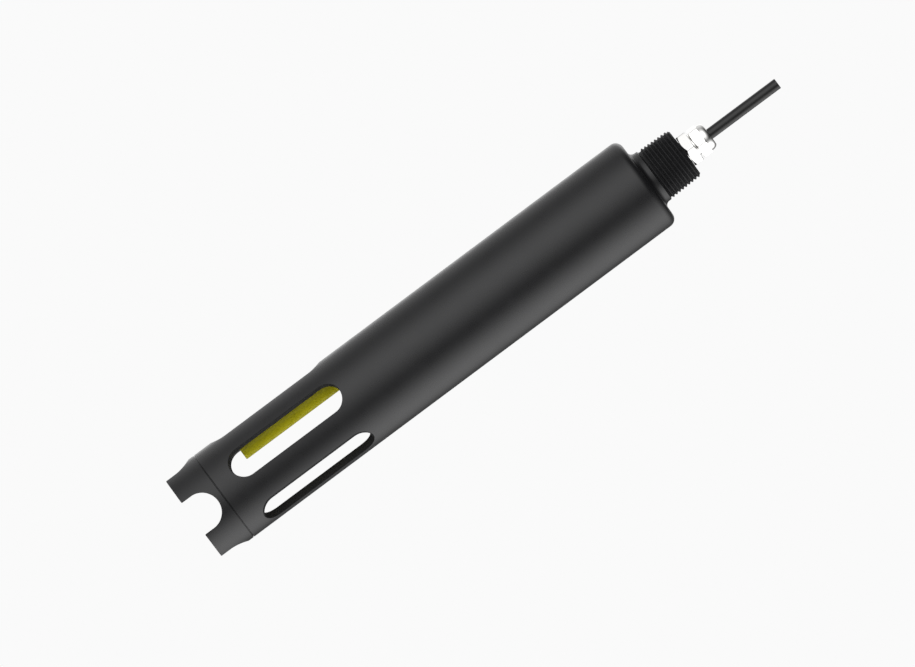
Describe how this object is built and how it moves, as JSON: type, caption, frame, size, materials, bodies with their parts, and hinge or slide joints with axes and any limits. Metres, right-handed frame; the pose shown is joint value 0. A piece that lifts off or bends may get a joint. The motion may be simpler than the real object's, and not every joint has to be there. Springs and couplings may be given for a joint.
{
  "type": "nitrate nitrogen sensor",
  "caption": "In-line ion-selective water probe: slotted black plastic tube round its electrodes, castellated guard ring, tapered pipe thread and cable gland with a short cable.",
  "frame": {"origin": "centre of the circle that the crown's tips stand on", "axes": "+Z along the probe's axis, from the crown's tips towards the cable; the nitrate electrode is at -X"},
  "size_m": [0.046, 0.046, 0.331],
  "materials": {
    "black_plastic": "semi-gloss moulded",
    "black_rubber": "matte",
    "holder_plastic": "matte",
    "olive_plastic": "satin",
    "membrane": "smooth",
    "white_plastic": "satin",
    "ceramic": "porous",
    "stainless_steel": "brushed",
    "nickel_plate": "bright",
    "white_nylon": "matte",
    "board_green": "solder mask",
    "chip_black": "matte",
    "connector_white": "matte",
    "capacitor_can": "smooth",
    "lead_grey": "smooth",
    "cable_jacket": "satin",
    "core_red": "smooth",
    "core_black": "smooth",
    "core_yellow": "smooth",
    "core_blue": "smooth"
  },
  "bodies": {
    "crown": {"crown_ring": "black_plastic"},
    "crown_seal": {"crown_o_ring": "black_rubber"},
    "probe": {"sensor_tube": "black_plastic", "electrode_holder": "holder_plastic", "holder_o_ring_front": "black_rubber", "holder_o_ring_rear": "black_rubber", "nitrate_electrode": "olive_plastic", "nitrate_membrane": "membrane", "nitrate_o_ring": "black_rubber", "nitrate_lead": "lead_grey", "reference_electrode": "white_plastic", "reference_junction": "ceramic", "reference_o_ring": "black_rubber", "reference_lead": "lead_grey", "temperature_base": "holder_plastic", "temperature_sheath": "stainless_steel", "temperature_o_ring": "black_rubber", "temperature_lead": "lead_grey", "circuit_board": "board_green", "board_screw_left": "stainless_steel", "board_screw_right": "stainless_steel", "rear_board_support": "white_nylon", "electrode_connector": "connector_white", "temperature_connector": "connector_white", "cable_connector": "connector_white", "amplifier_chip": "chip_black", "processor_chip": "chip_black", "transceiver_chip": "chip_black", "filter_capacitor": "capacitor_can", "gland_body": "nickel_plate", "gland_gasket": "black_rubber", "gland_seal": "black_rubber", "cable": "cable_jacket", "cable_inside": "cable_jacket", "core_red": "core_red", "core_black": "core_black", "core_yellow": "core_yellow", "core_blue": "core_blue"},
    "claw": {"gland_claw": "white_nylon"},
    "nut": {"gland_nut": "nickel_plate"}
  },
  "joints": [
    {"name": "probe_turn", "type": "hinge", "parent": "crown", "child": "crown_seal", "pos_m": [0, 0, 0.017], "axis": [0, 0, 1], "range_deg": [0, 1260]},
    {"name": "probe_lift", "type": "slide", "parent": "crown_seal", "child": "probe", "axis": [0, 0, 1], "range_m": [0, 0.0071]},
    {"name": "claw_rise", "type": "slide", "parent": "probe", "child": "claw", "axis": [0, 0, 1], "range_m": [0, 0.0046]},
    {"name": "nut_turn", "type": "hinge", "parent": "claw", "child": "nut", "pos_m": [0, 0, 0.2843], "axis": [0, 0, 1], "range_deg": [0, 1080]}
  ],
  "couplings": [
    {"joint": "probe_lift", "follows": "probe_turn", "m_per_rad": 0.00031831},
    {"joint": "claw_rise", "follows": "nut_turn", "m_per_rad": 0.00023873}
  ]
}
